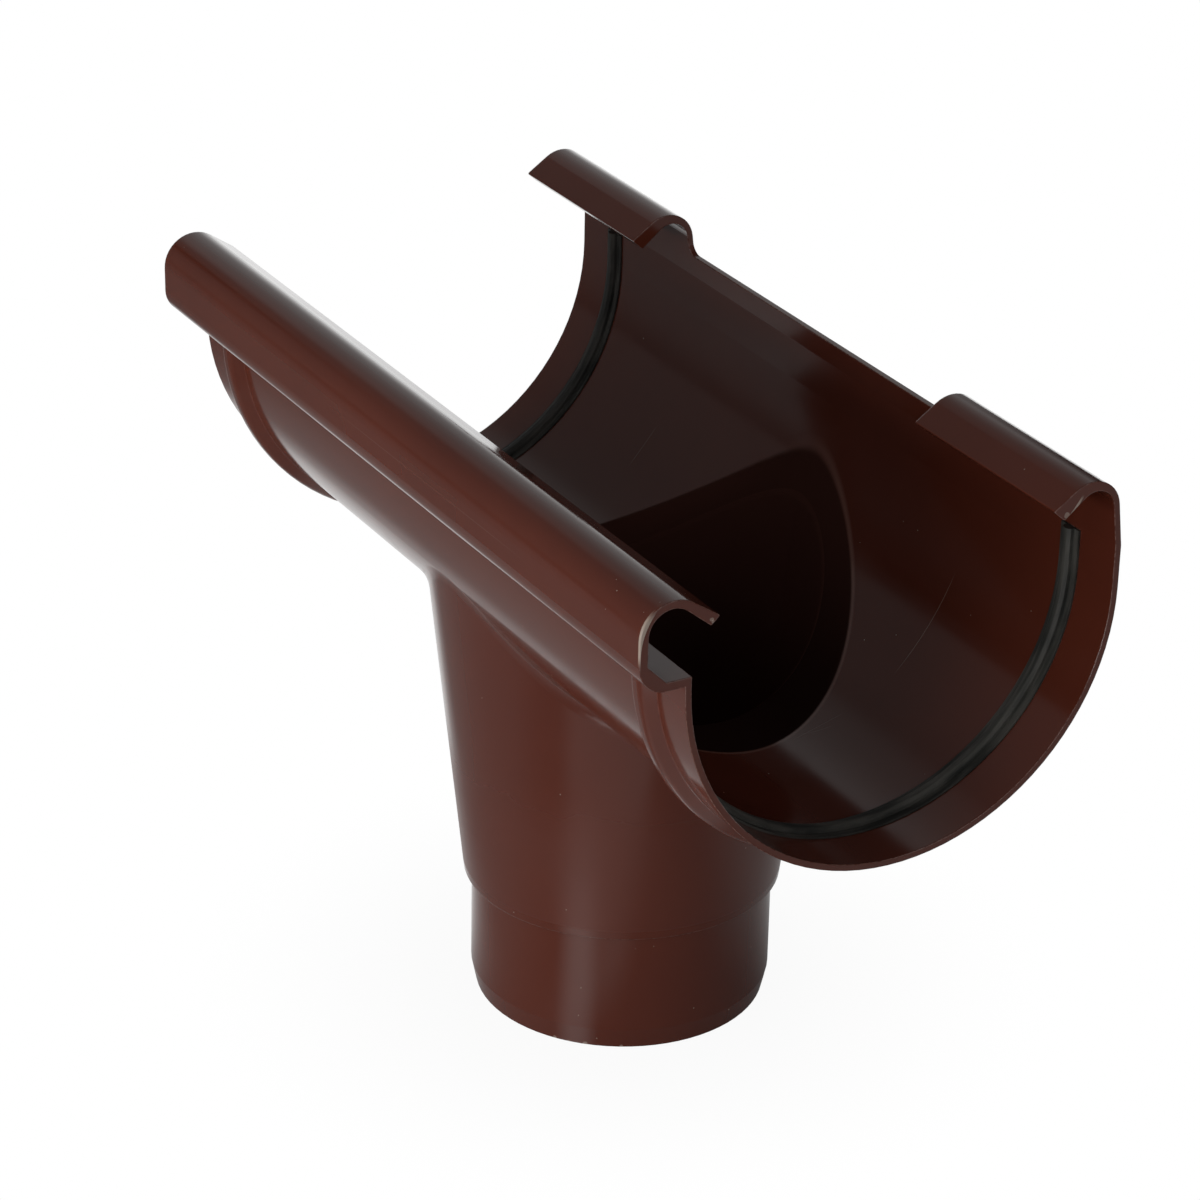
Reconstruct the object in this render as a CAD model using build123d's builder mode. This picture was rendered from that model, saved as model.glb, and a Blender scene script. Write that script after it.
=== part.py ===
from build123d import *
import os
from math import atan2, cos, radians, sin, tan

os.makedirs("parts", exist_ok=True)

# Moulded outlet of a half-round rain gutter, in millimetres.
# The trough runs along Y. Its rolled front bead is at -X and its two rear clips are at +X.
# +Z is up, and the origin is on the spigot's axis, at the spigot's lower edge.

# Spigot, which goes into the downpipe
spigot_radius = 45.0
spigot_length = 38.9
spigot_wall = 2.2
lead_in_length = 6.5
lead_in_depth = 1.4

# Funnel between the spigot and the trough
shoulder_depth = 2.5
funnel_top_inset = 4.2
funnel_rounding = 10.0
mouth_rounding = 2.0

# Trough, a half circle below its axis with upright walls above it
trough_radius = 65.3
trough_wall = 1.8
trough_length = 286.0
axis_height = 176.4
upright_rise = 12.0
rear_lean = 7.0
rear_rim_rise = 18.9

# Rolled front bead, open towards the trough
bead_wall = 2.4
bead_depth = 13.6
shelf_rise = 4.2
bead_floor_rounding = 8.0
bead_floor_facet = 5.6
bead_facet_rounding = 0.4
bead_roll_radius = 9.8
bead_roll_wall = 2.9
bead_tip_wall = 3.5
bead_tip_rise = 19.8
bead_tip_inset = 9.6

# Rear clips, one at each end of the rear wall
clip_length = 66.0
clip_foot_rounding = 3.5
clip_roll_radius = 9.3
clip_roll_wall = 3.3
clip_tip_wall = 4.7
clip_tip_rise = 26.5
clip_tip_inset = 22.8

# The bead and the clips turn over in the same way, and their lips grow thicker towards the tip
lip_angle = 34.0
lip_flare = 5.0
tip_slant = 14.0
tip_rounding = 0.5

# Hollow ribs near the ends, which hold the seals inside
rib_inset = 19.8
rib_height = 3.4
rib_base_width = 10.6
rib_crest_width = 4.4
rib_crest_rounding = 3.0
groove_mouth_width = 8.4
groove_floor_width = 3.6

# Rubber seals, which fill the grooves and stand a little proud
seal_clearance = 0.15
seal_flange = 0.5
seal_lip_width = 3.6
seal_lip_height = 1.8
seal_lip_rounding = 0.8

outer_radius = trough_radius + trough_wall
half_length = trough_length / 2
trough_axis = Axis((0, 0, axis_height), (0, 1, 0))
shelf_top = axis_height + shelf_rise
shelf_underside = shelf_top - bead_wall
funnel_foot_radius = spigot_radius + shoulder_depth
funnel_top_radius = outer_radius - funnel_top_inset
funnel_taper = atan2(funnel_top_radius - funnel_foot_radius, axis_height - spigot_length)
funnel_skin = trough_wall / cos(funnel_taper)
shoulder_top = spigot_length + shoulder_depth
upright_top = axis_height + upright_rise
groove_rear_rise = upright_rise - trough_wall
rim_top = axis_height + rear_rim_rise
clip_foot_top = rim_top + clip_foot_rounding
lean_shift = (clip_foot_top - upright_top) * tan(radians(rear_lean))
ends = {"left_seal": 1, "right_seal": -1}


def trough_section(radius, front_rise, rear_rise):
    """Half circle below the axis, with a block above it on the front and the rear half."""
    with BuildSketch(Plane.XZ) as section:
        with Locations((0, axis_height)):
            Circle(radius)
            Rectangle(2 * radius, radius, align=(Align.CENTER, Align.MIN), mode=Mode.SUBTRACT)
            Rectangle(radius, front_rise, align=(Align.MAX, Align.MIN))
            Rectangle(radius, rear_rise, align=(Align.MIN, Align.MIN))
    return section.sketch


def along_trough(points, rear_rise, front_rise, crest_rounding=0):
    """Solid with this section of radius and Y, bent round the trough and run up both walls."""
    with BuildPart() as ring:
        with BuildSketch(Plane.XY.offset(axis_height)) as section:
            with BuildLine():
                Polyline(*points, close=True)
            make_face()
            if crest_rounding:
                crest = [section.vertices().sort_by_distance(point)[0] for point in points[2:4]]
                fillet(crest, radius=crest_rounding)
        revolve(axis=trough_axis, revolution_arc=180)
        extrude(section.sketch, amount=rear_rise)
        extrude(mirror(section.sketch, about=Plane.YZ, mode=Mode.PRIVATE), amount=front_rise)
    return ring.part


def rib_section(end, inner_radius, base_width, crest_width, outer, foot):
    """Section across a rib, a groove or a seal: its foot, its flanks and its crest."""
    centre = end * (half_length - rib_inset)
    return [
        (inner_radius, centre - base_width / 2),
        (foot, centre - base_width / 2),
        (outer, centre - crest_width / 2),
        (outer, centre + crest_width / 2),
        (foot, centre + base_width / 2),
        (inner_radius, centre + base_width / 2),
    ]


def turned_line(feet, lean, tip, slope):
    """Points of a line that rises from its last foot, leaning in, and slopes down to its tip."""
    foot = feet[-1]
    rise_x, rise_z = -sin(radians(lean)), cos(radians(lean))
    lip_x, lip_z = cos(radians(slope)), sin(radians(slope))
    across = (tip[0] - foot[0]) * lip_z - (tip[1] - foot[1]) * lip_x
    climb = across / (rise_x * lip_z - rise_z * lip_x)
    return [*feet, (foot[0] + climb * rise_x, foot[1] + climb * rise_z), tip]


def turned_over(plane, side, outer_feet, inner_feet, lean, tip, tip_wall, outer_radii, inner_radii):
    """Section of a strip that rises, turns over and slopes down to a tip, thicker at the tip."""
    face_angle = radians(lip_angle + tip_slant)
    inner_tip = (tip[0] + tip_wall * sin(face_angle), tip[1] - tip_wall * cos(face_angle))
    outer = turned_line(outer_feet, lean, tip, lip_angle)
    inner = turned_line(inner_feet, lean, inner_tip, lip_angle + lip_flare)
    with BuildSketch(plane) as section:
        with BuildLine():
            outside = FilletPolyline(*[(side * x, z) for x, z in outer], radius=outer_radii)
            inside = FilletPolyline(*[(side * x, z) for x, z in inner], radius=inner_radii)
            Line(outside @ 0, inside @ 0)
            Line(outside @ 1, inside @ 1)
        make_face()
        tips = [section.vertices().sort_by_distance(line @ 1)[0] for line in (outside, inside)]
        fillet(tips, radius=tip_rounding)
    return section.sketch


# Everything outside the wall: trough, funnel, spigot and the two ribs. The funnel meets the trough
# in a rounded corner outside and a nearly sharp edge inside.
with BuildPart() as envelope:
    extrude(trough_section(outer_radius, shelf_rise, upright_rise), amount=half_length, both=True)
    with BuildSketch(Plane.XZ):
        with BuildLine():
            Polyline(
                (0, spigot_length),
                (funnel_foot_radius, spigot_length),
                (funnel_top_radius, axis_height),
                (0, axis_height),
                close=True,
            )
        make_face()
    revolve(axis=Axis.Z)
    # One half is rounded and then mirrored, which keeps the rounding a light surface,
    # and the spigot is added below it afterwards
    split(bisect_by=Plane.XZ)
    joint = envelope.edges().filter_by(lambda e: e.geom_type not in (GeomType.LINE, GeomType.CIRCLE))
    fillet(joint, radius=funnel_rounding)
    mirror(about=Plane.XZ)
    with BuildSketch(Plane.XZ):
        with BuildLine():
            Polyline(
                (0, 0),
                (spigot_radius - lead_in_depth, 0),
                (spigot_radius, lead_in_length),
                (spigot_radius, spigot_length),
                (0, spigot_length),
                close=True,
            )
        make_face()
    revolve(axis=Axis.Z)
    for end in ends.values():
        rib = rib_section(
            end, trough_radius, rib_base_width, rib_crest_width, outer_radius + rib_height, outer_radius
        )
        add(along_trough(rib, upright_rise, shelf_rise - bead_wall, rib_crest_rounding))

# Everything inside the wall: channel, waterway and the two grooves
with BuildPart() as hollow:
    channel = trough_section(trough_radius, axis_height, axis_height)
    extrude(channel, amount=half_length + trough_wall, both=True)
    with BuildSketch(Plane.XZ):
        with BuildLine():
            Polyline(
                (0, shoulder_top),
                (funnel_foot_radius - funnel_skin, shoulder_top),
                (funnel_top_radius - funnel_skin, axis_height),
                (0, axis_height),
                close=True,
            )
        make_face()
    revolve(axis=Axis.Z)
    split(bisect_by=Plane.XZ)
    mouth = hollow.edges().filter_by(lambda e: e.geom_type not in (GeomType.LINE, GeomType.CIRCLE))
    fillet(mouth, radius=mouth_rounding)
    mirror(about=Plane.XZ)
    with BuildSketch(Plane.XZ):
        with BuildLine():
            Polyline(
                (0, -trough_wall),
                (spigot_radius - spigot_wall, -trough_wall),
                (spigot_radius - spigot_wall, spigot_length),
                (funnel_foot_radius - funnel_skin, shoulder_top),
                (0, shoulder_top),
                close=True,
            )
        make_face()
    revolve(axis=Axis.Z)

with BuildPart() as outlet_body:
    add(envelope.part)
    add(hollow.part, mode=Mode.SUBTRACT)
    for end in ends.values():
        groove = rib_section(
            end, trough_radius - trough_wall, groove_mouth_width, groove_floor_width,
            trough_radius + rib_height, trough_radius
        )
        add(along_trough(groove, groove_rear_rise, shelf_rise - bead_wall), mode=Mode.SUBTRACT)
    # The front bead starts as a shelf on the front wall and curls back over it
    bead_front = outer_radius + bead_depth
    bead = turned_over(
        Plane.XZ,
        -1,
        [(trough_radius, shelf_underside), (bead_front, shelf_underside)],
        [
            (trough_radius, shelf_top),
            (bead_front - bead_wall - bead_floor_facet, shelf_top),
            (bead_front - bead_wall, shelf_top + bead_floor_facet),
        ],
        0,
        (outer_radius - bead_tip_inset, axis_height + bead_tip_rise),
        bead_tip_wall,
        [bead_floor_rounding, bead_roll_radius],
        [bead_facet_rounding, bead_facet_rounding, bead_roll_radius - bead_roll_wall],
    )
    extrude(bead, amount=half_length, both=True)

    # The rear wall leans in above the upright part and is cut down to a plain rim between the clips
    with BuildSketch(Plane.XZ):
        with BuildLine():
            Polyline(
                (trough_radius, upright_top),
                (outer_radius, upright_top),
                (outer_radius - lean_shift, clip_foot_top),
                (trough_radius - lean_shift, clip_foot_top),
                close=True,
            )
        make_face()
    extrude(amount=half_length, both=True)
    with BuildSketch(Plane.YZ) as rim_cut:
        with Locations((0, rim_top)):
            Rectangle(trough_length - 2 * clip_length, clip_roll_radius, align=(Align.CENTER, Align.MIN))
        fillet(rim_cut.vertices().group_by(Axis.Y)[0], radius=clip_foot_rounding)
    extrude(amount=outer_radius, mode=Mode.SUBTRACT)
    for end in ends.values():
        clip = turned_over(
            Plane.XZ.offset(-end * half_length),
            1,
            [(outer_radius, upright_top)],
            [(trough_radius, upright_top)],
            rear_lean,
            (outer_radius - clip_tip_inset, axis_height + clip_tip_rise),
            clip_tip_wall,
            [clip_roll_radius],
            [clip_roll_radius - clip_roll_wall],
        )
        extrude(clip, amount=end * clip_length)

outlet_body.part.label = "outlet_body"
export_step(outlet_body.part, "parts/outlet_body.step")

# One rubber seal in each groove: a foot in the groove, a thin flange over its edges and a lip
foot_radius = trough_radius + rib_height - seal_clearance
foot_width = groove_mouth_width - 2 * seal_clearance
floor_width = groove_floor_width - 2 * seal_clearance
flange_radius = trough_radius - seal_flange
seal_rear_rise = groove_rear_rise - seal_clearance
seal_front_rise = shelf_rise - bead_wall - seal_clearance
for name, end in ends.items():
    with BuildPart() as seal:
        foot = rib_section(end, flange_radius, foot_width, floor_width, foot_radius, trough_radius)
        add(along_trough(foot, seal_rear_rise, seal_front_rise))
        lip = rib_section(end, flange_radius, seal_lip_width, seal_lip_width / 2,
                          flange_radius - seal_lip_height, flange_radius - seal_lip_height / 2)
        add(along_trough(lip, seal_rear_rise, seal_front_rise, seal_lip_rounding))
    seal.part.label = name
    export_step(seal.part, f"parts/{name}.step")
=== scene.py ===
import math

import bpy
from mathutils import Matrix, Vector

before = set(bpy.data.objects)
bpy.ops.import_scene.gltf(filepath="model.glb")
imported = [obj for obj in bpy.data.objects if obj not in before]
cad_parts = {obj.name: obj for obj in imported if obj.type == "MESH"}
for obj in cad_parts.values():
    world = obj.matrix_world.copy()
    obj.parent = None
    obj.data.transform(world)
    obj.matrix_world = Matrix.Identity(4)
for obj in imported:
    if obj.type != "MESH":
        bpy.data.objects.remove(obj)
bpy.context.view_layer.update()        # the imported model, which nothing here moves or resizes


# one output of a node, so that shader maths reads as plain Python
class Wire:
    def __init__(self, shader, socket):
        self.shader = shader
        self.socket = socket

    def out(self, name):     # another output of the same node
        return Wire(self.shader, self.socket.node.outputs[name])

    def __add__(self, other):
        return self.shader.maths("ADD", self, other)

    def __sub__(self, other):
        return self.shader.maths("SUBTRACT", self, other)

    def __rsub__(self, other):
        return self.shader.maths("SUBTRACT", other, self)

    def __mul__(self, other):
        return self.shader.maths("MULTIPLY", self, other)

    def __truediv__(self, other):
        return self.shader.maths("DIVIDE", self, other)

    def __gt__(self, other):
        return self.shader.maths("GREATER_THAN", self, other)

    def __lt__(self, other):
        return self.shader.maths("LESS_THAN", self, other)

    __radd__ = __add__
    __rmul__ = __mul__


class Shader:
    def __init__(self, tree):
        self.tree = tree
        tree.nodes.clear()

    def node(self, kind, settings=None, inputs=None, output=0):
        made = self.tree.nodes.new("ShaderNode" + kind)
        for name, value in (settings or {}).items():
            setattr(made, name, value)
        for name, value in (inputs or {}).items():
            if isinstance(value, Wire):
                self.tree.links.new(value.socket, made.inputs[name])
            else:
                made.inputs[name].default_value = value
        return Wire(self, made.outputs[output]) if made.outputs else None

    def maths(self, operation, *values):
        return self.node("Math", {"operation": operation}, dict(enumerate(values)))

    def size(self, value):
        return self.maths("ABSOLUTE", value)

    def larger(self, first, second):
        return self.maths("MAXIMUM", first, second)

    def vectors(self, operation, first, second, output="Vector"):
        return self.node("VectorMath", {"operation": operation}, {0: first, 1: second}, output)

    def dot(self, vector, direction):
        return self.vectors("DOT_PRODUCT", vector, direction, "Value")

    def distance(self, place, centre):
        return self.vectors("DISTANCE", place, centre, "Value")

    def axes(self, place):
        x = self.node("SeparateXYZ", {}, {"Vector": place}, "X")
        return x, x.out("Y"), x.out("Z")

    def colour(self, tone):      # a link stays as it is, and a named colour gets its alpha
        return tone if isinstance(tone, Wire) else (*tone, 1)

    def mixed(self, share, first, second):     # colours are mixed here and never go through Math
        return self.node("Mix", {"data_type": "RGBA"},
                         {0: share, 6: self.colour(first), 7: self.colour(second)}, 2)

    def faded(self, value, low, high):         # 0 below low, 1 above high, smooth between
        return self.node("MapRange", {"interpolation_type": "SMOOTHSTEP"},
                         {"Value": value, "From Min": low, "From Max": high})

    def noise(self, place, scale, detail=2.0, distortion=0.0):
        return self.node("TexNoise", {}, {"Vector": place, "Scale": scale, "Detail": detail,
                                          "Distortion": distortion}, "Fac")

    def bump(self, strength, depth, height, **normal):
        return self.node("Bump", {}, {"Strength": strength, "Distance": depth, "Height": height, **normal})

    def plastic(self, colour, roughness, **others):
        return self.node("BsdfPrincipled", {}, {"Base Color": colour, "Roughness": roughness, **others})


def newMaterial(name):
    material = bpy.data.materials.new(name)
    material.use_nodes = True
    return material, Shader(material.node_tree)


# pale specks of dust: small balls round scattered points, cut by the surface
def dustSpecks(shader, place, cell, radius, share):
    cells = shader.node("TexVoronoi", {}, {"Vector": place, "Scale": 1 / cell}, "Distance")
    chosen = shader.node("SeparateColor", {}, {"Color": cells.out("Color")}, "Red") > 1 - share
    return (cells < radius / cell) * chosen


# one fine mark between two points, in the plane across outward, bowed to one side and fading at its tips
def scratch(shader, place, start, end, outward, width, tone, bow=0.0, depth=0.012, tip=0.25):
    along = Vector(end) - Vector(start)
    sideways = along.cross(Vector(outward)).normalized()
    offset = shader.vectors("SUBTRACT", place, start)
    travel = shader.dot(offset, along.normalized() / along.length)
    aside = shader.size(shader.dot(offset, sideways) - bow * 4 * travel * (1 - travel))
    near = shader.size(shader.dot(offset, Vector(outward).normalized())) < depth
    ends = shader.faded(travel, 0.0, tip) * (1 - shader.faded(travel, 1 - tip, 1.0))
    return (aside < width / 2) * near * ends * tone


# a small nick or burr: an uneven pale spot round one point
def nick(shader, place, wobble, centre, radius, least=0.4):
    return shader.distance(place, centre) < radius * (least + wobble)


plasticLook = {
    "brown": (0.111, 0.0246, 0.0130),
    "patchyBrown": (0.099, 0.0222, 0.0122),
    "clouds": {"scale": 14.0, "detail": 3.0},
    "cloudFade": (0.3, 0.7),
    "roughness": 0.12,
    "smudges": {"scale": 38.0, "detail": 4.0, "distortion": 0.6},
    "smudgeFade": (0.45, 0.75),
    "smudgeRoughness": 0.05,
    "funnelRoughness": 0.20,         # the funnel's foot is duller than the spigot
    "funnelStart": (0.0410, 0.0418),
    "funnelEnd": (0.070, 0.100),
    "refraction": 1.5,
    "waves": {"scale": 45.0, "detail": 1.0},
    "waveStrength": 0.05,
    "waveDepth": 0.0005,
    "edgeRadius": 0.00055,           # edges are rounded in the shading, and pale in places: partly rubbed wear, partly painted highlight
    "edgeSamples": 6,
    "edgeFade": (0.03, 0.25),
    "wobble": {"scale": 900.0, "detail": 2.0},
    "wobbleFade": (0.35, 0.55),
    "wornEdgeAndGlint": (0.45, 0.27, 0.22),
    "wornAndGlintShare": 0.55,
    # pale colour of dust, grit, scratches and nicks, and of the painted glints
    "dust": (0.42, 0.33, 0.27),
    "dustRoughness": 0.3,
    "specks": {"cell": 0.0045, "radius": 0.00016, "share": 0.22},
    "grit": {"cell": 0.0021, "radius": 0.00016, "share": 0.30},
    "gritPlace": (-0.0762, -0.124, 0.2016),      # on the bead, near the right-hand end
    "gritReach": (0.010, 0.022),
    "nickTone": 0.5,
    "scratchesAndGlints": [
        # inside the trough, towards the right-hand and the left-hand end
        {"start": (0.0618, -0.0769, 0.1545), "end": (0.0410, -0.0774, 0.1255), "outward": (-0.8, 0, 0.6),
         "width": 0.00022, "tone": 0.45, "bow": 0.0006},
        {"start": (0.0550, 0.0764, 0.1405), "end": (0.0440, 0.0764, 0.1282), "outward": (-0.76, 0, 0.65),
         "width": 0.00030, "tone": 0.15, "bow": 0.0005},
        # beside the mouth's low edge
        {"start": (0.0098, -0.0750, 0.1119), "end": (0.0270, -0.0756, 0.1170), "outward": (-0.28, 0, 0.96),
         "width": 0.00018, "tone": 0.25, "bow": -0.0008},
        {"start": (0.0130, -0.0735, 0.1125), "end": (0.0225, -0.0775, 0.1152), "outward": (-0.28, 0, 0.96),
         "width": 0.00016, "tone": 0.20, "bow": 0.0005},
        # the mould's faint parting line along the bead
        {"start": (-0.0807, 0.0350, 0.1909), "end": (-0.0807, -0.0900, 0.1909), "outward": (-1, 0, 0),
         "width": 0.00030, "tone": 0.05},
        # painted glints on the edges at the right-hand end: the bead's roll and the clip's lip
        {"start": (-0.0808, -0.1428, 0.1860), "end": (-0.0762, -0.1428, 0.2020), "outward": (0, -1, 0),
         "width": 0.00120, "tone": 1.00, "bow": -0.0019, "depth": 0.0007},
        {"start": (0.0478, -0.1428, 0.1988), "end": (0.0536, -0.1428, 0.2061), "outward": (0, -1, 0),
         "width": 0.00070, "tone": 0.90, "bow": 0.0002, "depth": 0.0007},
    ],
    "nicks": [
        # the spigot's lower edge
        {"centre": (-0.0360, -0.0246, 0.0003), "radius": 0.0007},
        {"centre": (-0.0332, -0.0282, 0.0000), "radius": 0.0006},
        {"centre": (-0.0299, -0.0318, 0.0002), "radius": 0.0008},
        {"centre": (-0.0213, -0.0382, 0.0003), "radius": 0.0006},
        # the tip of the right-hand clip
        {"centre": (0.0484, -0.1430, 0.2012), "radius": 0.0009},
        {"centre": (0.0497, -0.1430, 0.2002), "radius": 0.0007},
        {"centre": (0.0506, -0.1430, 0.1993), "radius": 0.0005},
        {"centre": (0.0480, -0.1425, 0.2022), "radius": 0.0005},
        # the tip of the bead's lip
        {"centre": (-0.0600, -0.1430, 0.1956), "radius": 0.0006},
        {"centre": (-0.0596, -0.1430, 0.1948), "radius": 0.0005},
    ],
}

# painted shade round the mouth: a dark flared ring on the trough's inner face, then the funnel's inside,
# with a thin painted highlight round the ring's edge
mouthLook = {
    "axisHeight": 0.1764,
    "wallRadius": 0.0653,
    "wallBand": (-0.0007, 0.0016),   # from the trough's inner face to just inside the wall
    "top": 0.168,
    "halfWidth": 0.0636,
    "halfLength": 0.0742,
    "power": 1.85,
    "edge": (0.975, 1.0),
    "glintRise": (0.975, 0.99),       # a painted highlight: a thin pale line round the edge, but not at the left
    "glintFall": (1.0, 1.025),
    "glintFade": (-0.030, 0.020),
    "glintShare": 0.26,
    "footRadius": 0.0464,            # the middle of the funnel's skin just above the shoulder
    "shoulderTop": 0.0414,
    "taper": 0.114,
    # painted shade: the ring goes from a dark brown low down and near to a lighter brown higher up and on
    # the far side, where more light falls, and the funnel's inside is a plain darker brown
    "shadedFunnelBrown": (0.066, 0.026, 0.020),
    "shadedBrown": (0.020, 0.0085, 0.0070),
    "litBrown": (0.105, 0.0400, 0.0300),
    "heights": (0.112, 0.150),
    "litHeightShare": 0.42,
    "litFarSide": (0.010, 0.065),
    "litFarShare": 0.58,
    "roughness": 0.6,
}


def mouthShadeAndRimGlint(shader, place, look):
    x, y, z = shader.axes(place)
    rise = z - look["axisHeight"]
    intoWall = shader.maths("SQRT", x * x + rise * rise) - look["wallRadius"]
    shallow, deep = look["wallBand"]
    onWall = (intoWall > shallow) * (intoWall < deep) * (z < look["top"])
    reach = (shader.maths("POWER", shader.size(x) / look["halfWidth"], look["power"])
             + shader.maths("POWER", shader.size(y) / look["halfLength"], look["power"]))
    flare = (1 - shader.faded(reach, *look["edge"])) * onWall
    # painted highlight: a thin pale line round the ring's edge, faded out at the left
    line = shader.faded(reach, *look["glintRise"]) * (1 - shader.faded(reach, *look["glintFall"])) * onWall
    line = line * (1 - shader.faded(y, *look["glintFade"])) * look["glintShare"]
    skinRadius = look["footRadius"] + look["taper"] * (z - look["shoulderTop"])
    within = shader.maths("SQRT", x * x + y * y) < skinRadius
    funnel = within * (z < look["top"]) * (z > look["shoulderTop"])
    # painted light and shade: the ring is lighter higher up and towards the far side
    lit = look["litHeightShare"] * shader.faded(z, *look["heights"])
    lit = lit + look["litFarShare"] * shader.faded(y, *look["litFarSide"])
    colour = shader.mixed(lit, look["shadedBrown"], look["litBrown"])
    # painted shade: the funnel's inside darker, with no reflection so that the painted shade stays dark
    colour = shader.mixed(funnel, colour, look["shadedFunnelBrown"])
    surface = shader.plastic(colour, look["roughness"], **{"Specular IOR Level": 0.0})
    return shader.larger(flare, funnel), line, surface


def plasticMaterial(look, mouth):
    material, shader = newMaterial("moulded_brown_plastic")
    place = shader.node("TexCoord", output="Object")
    height = shader.axes(place)[2]
    rounded = shader.node("Bevel", {"samples": look["edgeSamples"]}, {"Radius": look["edgeRadius"]})
    bend = 1 - shader.dot(rounded, shader.node("NewGeometry", output="Normal"))
    # pale edges: partly rubbed wear, partly painted highlight
    wobble = shader.noise(place, **look["wobble"])
    wornAndGlint = shader.faded(bend, *look["edgeFade"]) * shader.faded(wobble, *look["wobbleFade"])
    wornAndGlint = wornAndGlint * look["wornAndGlintShare"]
    dust = dustSpecks(shader, place, **look["specks"])
    fromGrit = shader.distance(place, look["gritPlace"])
    grit = dustSpecks(shader, place, **look["grit"]) * (1 - shader.faded(fromGrit, *look["gritReach"]))
    # fine scratches and a parting line, and painted glints on two edges at the right-hand end
    scratchAndGlintMarks = sum(scratch(shader, place, **mark) for mark in look["scratchesAndGlints"])
    spots = sum(nick(shader, place, wobble, **mark) for mark in look["nicks"]) * look["nickTone"]
    pale = shader.maths("MINIMUM", dust + grit + scratchAndGlintMarks + spots, 1.0)
    # the mouth's painted shade, and the mask of its painted rim highlight
    inside, line, paintedShadeSurface = mouthShadeAndRimGlint(shader, place, mouth)
    clouds = shader.faded(shader.noise(place, **look["clouds"]), *look["cloudFade"])
    colour = shader.mixed(clouds, look["brown"], look["patchyBrown"])
    # pale edges and the pale line round the mouth: wear and painted highlights
    colour = shader.mixed(shader.larger(wornAndGlint, line), colour, look["wornEdgeAndGlint"])
    # dust, grit, scratches and nicks are pale, and so are the painted glints
    colour = shader.mixed(pale, colour, look["dust"])
    smudges = shader.faded(shader.noise(place, **look["smudges"]), *look["smudgeFade"])
    onFunnel = shader.faded(height, *look["funnelStart"]) * (1 - shader.faded(height, *look["funnelEnd"]))
    roughness = look["roughness"] + look["smudgeRoughness"] * smudges + look["dustRoughness"] * dust
    roughness = roughness + look["funnelRoughness"] * onFunnel
    waves = shader.noise(place, **look["waves"])
    relief = shader.bump(look["waveStrength"], look["waveDepth"], waves, Normal=rounded)
    shiny = shader.plastic(colour, roughness, IOR=look["refraction"], Normal=relief)
    # the mouth's painted shade over the plastic
    surface = shader.node("MixShader", {}, {0: inside, 1: shiny, 2: paintedShadeSurface})
    shader.node("OutputMaterial", {}, {"Surface": surface})
    return material


rubberLook = {
    "black": (0.021, 0.022, 0.020),
    "dusty": (0.085, 0.081, 0.072),
    "streaks": (0.12, 1.0, 0.12),    # dusty streaks run along the seal
    "streakWidth": 0.0022,
    "streakDetail": 3.0,
    "streakFade": (0.32, 0.72),
    "roughness": 0.55,
    "refraction": 1.5,
    "gloss": 0.25,
    "grainSize": 0.0004,
    "grainStrength": 0.25,
    "grainDepth": 0.0002,
}


def rubberMaterial(look):
    material, shader = newMaterial("black_seal_rubber")
    place = shader.node("TexCoord", output="Object")
    streaks = shader.noise(shader.vectors("MULTIPLY", place, look["streaks"]), 1 / look["streakWidth"],
                           look["streakDetail"])
    colour = shader.mixed(shader.faded(streaks, *look["streakFade"]), look["black"], look["dusty"])
    grain = shader.noise(place, 1 / look["grainSize"])
    relief = shader.bump(look["grainStrength"], look["grainDepth"], grain)
    surface = shader.plastic(colour, look["roughness"], IOR=look["refraction"], Normal=relief,
                             **{"Specular IOR Level": look["gloss"]})
    shader.node("OutputMaterial", {}, {"Surface": surface})
    return material


def dress(node, material):
    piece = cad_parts[node]
    for holder in piece.material_slots:
        holder.material = material


plastic = plasticMaterial(plasticLook, mouthLook)
rubber = rubberMaterial(rubberLook)
dress("outlet_body", plastic)
for sealName in ("left_seal", "right_seal"):
    dress(sealName, rubber)
print("materials on", len(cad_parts), "nodes")


# pale table: plain diffuse for soft light, nearly white to the camera with the object's faint shadow,
# and lit unevenly where glossy plastic mirrors it, brightest towards the backdrop
floorLook = {
    "size": 9.0,
    "paper": (0.80, 0.80, 0.80),
    "cameraFade": (0.02, 0.14),      # metres from the spigot's axis
    "shadowShare": 0.06,
    "mirrorPaper": (0.42, 0.42, 0.42),
    "dimWhite": 0.04,
    "stripWhite": 0.12,              # just behind the object, as far as the shade at the left
    "stripLeft": (-0.26, -0.22),
    "stripNear": (-0.05, 0.03),
    "stripFar": (0.30, 0.45),
    "middleWhite": 0.60,             # behind the trough's middle and right
    "middleLeft": (-0.085, -0.01),
    "middleNear": (0.00, 0.06),
    "middleFar": (0.35, 0.70),
    "rightWhite": 0.20,              # the whole right side
    "rightSide": (0.03, 0.10),
    "backWhite": 1.12,               # far behind, towards the backdrop
    "backSide": (0.7, 0.7, 0.0),
    "backFade": (0.20, 1.10),
    "backLeft": (-0.20, 0.20),
    "patchWhite": 0.30,              # a patch of light on the table in front, at the left
    "patchEdges": ((-1, 0, 0), (0.41, -0.91, 0)),
    "patchFades": ((0.030, 0.060), (-0.010, 0.030)),
    "stripeWhite": 0.66,             # mirrored as an upright light band on the spigot
    "stripeStart": (-0.034, -0.031, 0.0),
    "stripeAlong": (-0.872, -0.490, 0.0),
    "stripeAcross": (0.490, -0.872, 0.0),
    "stripeEnds": (0.068, 0.090),
    "stripeSlopes": (0.03, 0.34),
    "stripeApex": 0.025,
    "glowWhite": 1.3,                # the table near the main lamp
    "glowSide": (-0.78, -0.62, 0.0),
    "glowFade": (0.33, 0.55),
}


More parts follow.
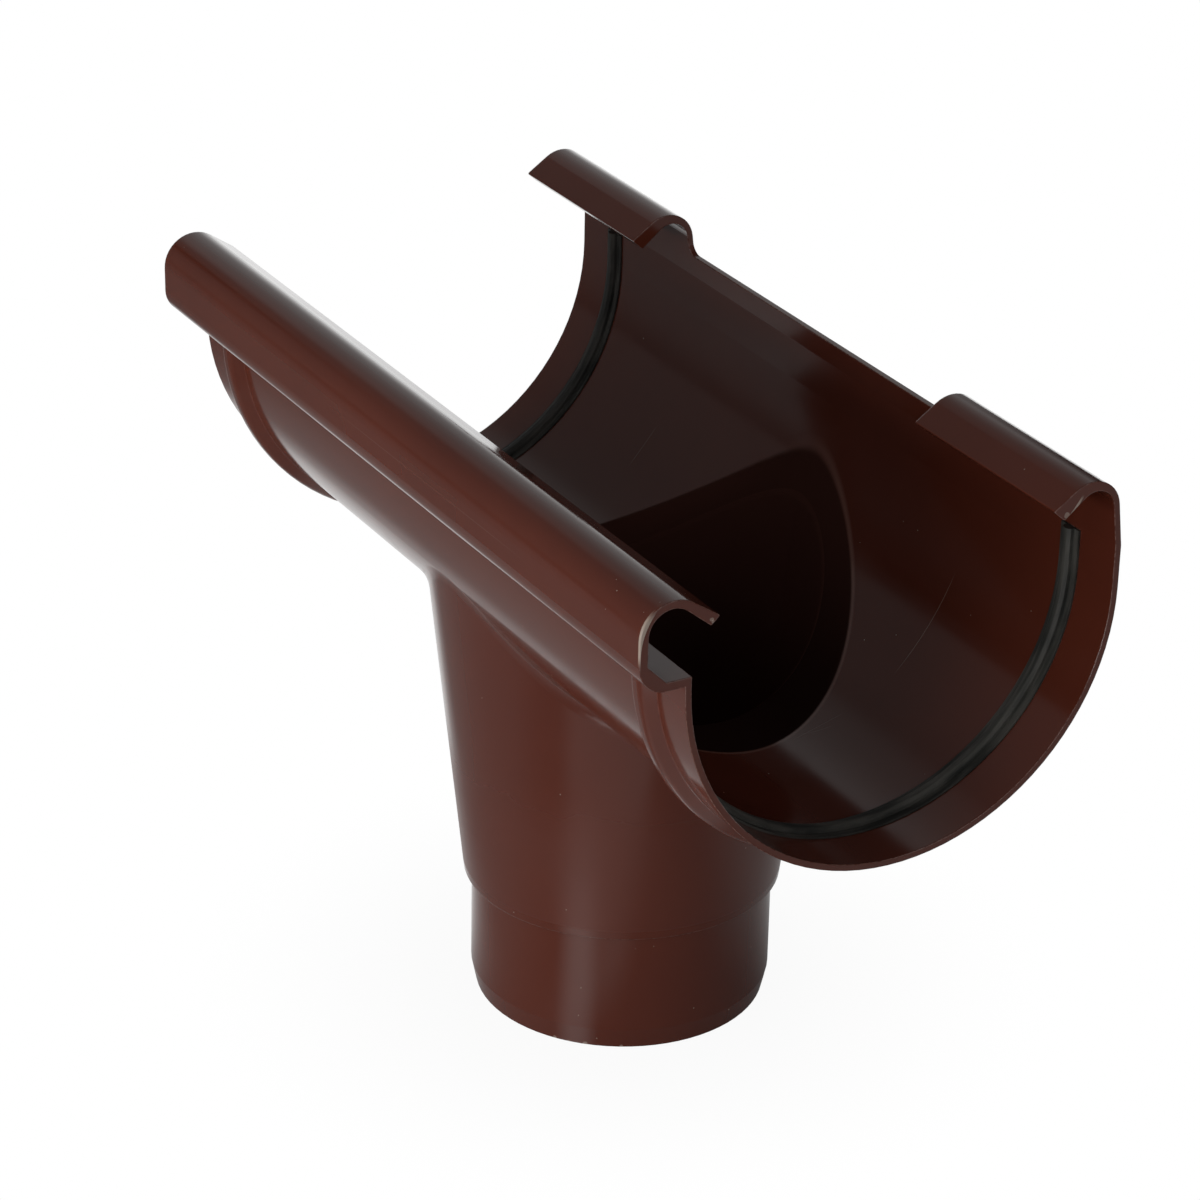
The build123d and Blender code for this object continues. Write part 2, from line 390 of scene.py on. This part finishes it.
# how bright the table is where the plastic mirrors it
def mirroredTable(shader, place, look):
    x, y, _ = shader.axes(place)
    strip = look["stripWhite"] * shader.faded(x, *look["stripLeft"])
    strip = strip * shader.faded(y, *look["stripNear"]) * (1 - shader.faded(y, *look["stripFar"]))
    middle = look["middleWhite"] * shader.faded(x, *look["middleLeft"])
    middle = middle * shader.faded(y, *look["middleNear"]) * (1 - shader.faded(y, *look["middleFar"]))
    right = look["rightWhite"] * shader.faded(x, *look["rightSide"])
    back = look["backWhite"] * shader.faded(shader.dot(place, look["backSide"]), *look["backFade"])
    back = back * shader.faded(x, *look["backLeft"])
    patch = look["patchWhite"]
    for edge, fade in zip(look["patchEdges"], look["patchFades"]):
        patch = patch * shader.faded(shader.dot(place, edge), *fade)
    offset = shader.vectors("SUBTRACT", place, look["stripeStart"])
    along = shader.dot(offset, look["stripeAlong"])
    slope = shader.size(shader.dot(offset, look["stripeAcross"])) / (along + look["stripeApex"])
    stripe = (1 - shader.faded(slope, *look["stripeSlopes"])) * (along > -look["stripeApex"] / 2)
    stripe = look["stripeWhite"] * stripe * (1 - shader.faded(along, *look["stripeEnds"]))
    glow = look["glowWhite"] * shader.faded(shader.dot(place, look["glowSide"]), *look["glowFade"])
    return look["dimWhite"] + strip + middle + right + back + patch + stripe + glow


def paleFloor(look):
    half = look["size"] / 2
    corners = [(-half, -half, 0), (half, -half, 0), (half, half, 0), (-half, half, 0)]
    mesh = bpy.data.meshes.new("pale_floor")
    mesh.from_pydata(corners, [], [(0, 1, 2, 3)])
    floor = bpy.data.objects.new("pale_floor", mesh)
    bpy.context.scene.collection.objects.link(floor)
    material, shader = newMaterial("pale_table")
    place = shader.node("TexCoord", output="Object")
    camera = shader.node("LightPath", output="Is Camera Ray")
    mirror = camera.out("Is Glossy Ray")
    fromAxis = shader.distance(place, (0, 0, 0))
    cameraWhite = 1 - look["shadowShare"] * (1 - shader.faded(fromAxis, *look["cameraFade"]))
    paper = shader.node("BsdfDiffuse", {}, {"Color": shader.colour(look["paper"])})
    darkPaper = shader.node("BsdfDiffuse", {}, {"Color": shader.colour(look["mirrorPaper"])})
    white = shader.node("Emission", {}, {"Color": (1, 1, 1, 1), "Strength": 1.0})
    seen = shader.node("MixShader", {}, {0: camera * cameraWhite, 1: paper, 2: white})
    tone = mirroredTable(shader, place, look)
    grey = shader.node("CombineColor", {}, {"Red": tone, "Green": tone, "Blue": tone})
    lit = shader.node("Emission", {}, {"Color": grey, "Strength": 1.0})
    mirrored = shader.node("AddShader", {}, {0: darkPaper, 1: lit})
    surface = shader.node("MixShader", {}, {0: mirror, 1: seen, 2: mirrored})
    shader.node("OutputMaterial", {}, {"Surface": surface})
    mesh.materials.append(material)


# dim room with a pale backdrop behind and to the right, brighter near the table, white to the camera
studioLook = {
    "room": 0.16,
    "ceiling": 0.06,
    "ceilingFade": (0.60, 0.85),     # sines of the elevation, as in the other heights here
    "shadeSide": (-1, 0, 0),
    "shadeFade": (0.62, 0.78),
    "shadeShare": 0.85,
    "gapSide": (0.842, 0.486, -0.235),
    "gapFade": (-0.02, 0.02),
    "gapTop": (0.40, 0.46),
    "lowWhite": 0.70,
    "lowFade": (-0.02, 0.30),
    "highWhite": 0.54,
    "highFade": (0.35, 0.95),
    "backdropLeft": (-0.30, 0.05),
    "backdropSide": (-0.766, 0.643, 0),
    "backdropRight": (-0.07, 0.08),
}


def studioWorld(look):
    world = bpy.data.worlds.new("pale_studio")
    world.use_nodes = True
    bpy.context.scene.world = world
    shader = Shader(world.node_tree)
    direction = shader.node("TexCoord", output="Generated")
    x, _, height = shader.axes(direction)
    camera = shader.node("LightPath", output="Is Camera Ray")
    darkGap = shader.faded(shader.dot(direction, look["gapSide"]), *look["gapFade"])
    aboveGap = shader.faded(height, *look["gapTop"])
    shade = shader.faded(shader.dot(direction, look["shadeSide"]), *look["shadeFade"]) * (1 - aboveGap)
    top = shader.faded(height, *look["ceilingFade"])
    room = look["room"] * shader.larger(1 - darkGap, aboveGap) * (1 - look["shadeShare"] * shade)
    room = room * (1 - top) + look["ceiling"] * top
    toRight = shader.faded(shader.dot(direction, look["backdropSide"]), *look["backdropRight"])
    side = shader.faded(x, *look["backdropLeft"]) * toRight
    low = look["lowWhite"] * (1 - shader.faded(height, *look["lowFade"]))
    high = look["highWhite"] * (1 - shader.faded(height, *look["highFade"]))
    strength = shader.larger(shader.larger(room, side * (low + high)), camera)
    sky = shader.node("Background", {}, {"Color": (1, 1, 1, 1), "Strength": strength})
    shader.node("OutputWorld", {}, {"Surface": sky})


# upright softboxes round the table: azimuth in degrees from +X, lengths in metres
lampLook = {
    "key_softbox": {"azimuth": 190, "distance": 0.90, "width": 1.05, "low": 0.02, "high": 0.34,
                    "brightness": 4.5},
    "upper_softbox": {"azimuth": 184, "distance": 1.30, "width": 1.50, "low": 0.46, "high": 1.30,
                      "brightness": 0.55},
    "small_softbox": {"azimuth": 215, "distance": 1.20, "width": 0.25, "low": 0.95, "high": 1.20,
                      "brightness": 3.0},
    "front_softbox": {"azimuth": 281, "distance": 1.70, "width": 1.00, "low": 0.05, "high": 1.20,
                      "brightness": 1.0},
}


def softLamp(name, azimuth, distance, width, low, high, brightness):
    lamp = bpy.data.lights.new(name, "AREA")
    lamp.shape = "RECTANGLE"
    lamp.size, lamp.size_y = width, high - low
    lamp.energy = brightness * math.pi * lamp.size * lamp.size_y
    holder = bpy.data.objects.new(name, lamp)
    bpy.context.scene.collection.objects.link(holder)
    outward = Vector((math.cos(math.radians(azimuth)), math.sin(math.radians(azimuth)), 0))
    holder.location = outward * distance + Vector((0, 0, (low + high) / 2))
    holder.rotation_euler = outward.to_track_quat("Z", "Y").to_euler()
    holder.visible_camera = False


paleFloor(floorLook)
studioWorld(studioLook)
for lampName, lamp in lampLook.items():
    softLamp(lampName, **lamp)
print("studio lit by", len(lampLook), "lamps")


# the photograph's viewpoint: angles in degrees, lengths in metres, lens and sensor in millimetres
cameraLook = {
    "azimuth": 30.20,
    "elevation": 26.01,
    "roll": 1.184,
    "target": (-0.00935, 0.0, 0.12759),
    "distance": 1.2097,
    "lens": 125.06,
    "sensor": 36.0,
    "clip": (0.05, 30.0),
}


def photoCamera(look):
    azimuth, elevation, roll = (math.radians(look[name]) for name in ("azimuth", "elevation", "roll"))
    onFloor = Vector((math.sin(azimuth), math.cos(azimuth), 0))
    forward = onFloor * math.cos(elevation) - Vector((0, 0, math.sin(elevation)))
    level = Vector((math.cos(azimuth), -math.sin(azimuth), 0))
    upward = level.cross(forward)
    right = level * math.cos(roll) + upward * math.sin(roll)
    lens = bpy.data.cameras.new("photo_camera")
    lens.lens, lens.sensor_width = look["lens"], look["sensor"]
    lens.clip_start, lens.clip_end = look["clip"]
    camera = bpy.data.objects.new("photo_camera", lens)
    bpy.context.scene.collection.objects.link(camera)
    turn = Matrix((right, right.cross(forward), -forward)).transposed().to_4x4()
    camera.matrix_world = Matrix.Translation(Vector(look["target"]) - forward * look["distance"]) @ turn
    bpy.context.scene.camera = camera


photoCamera(cameraLook)
bpy.context.scene.view_settings.view_transform = "Standard"
print("camera set")
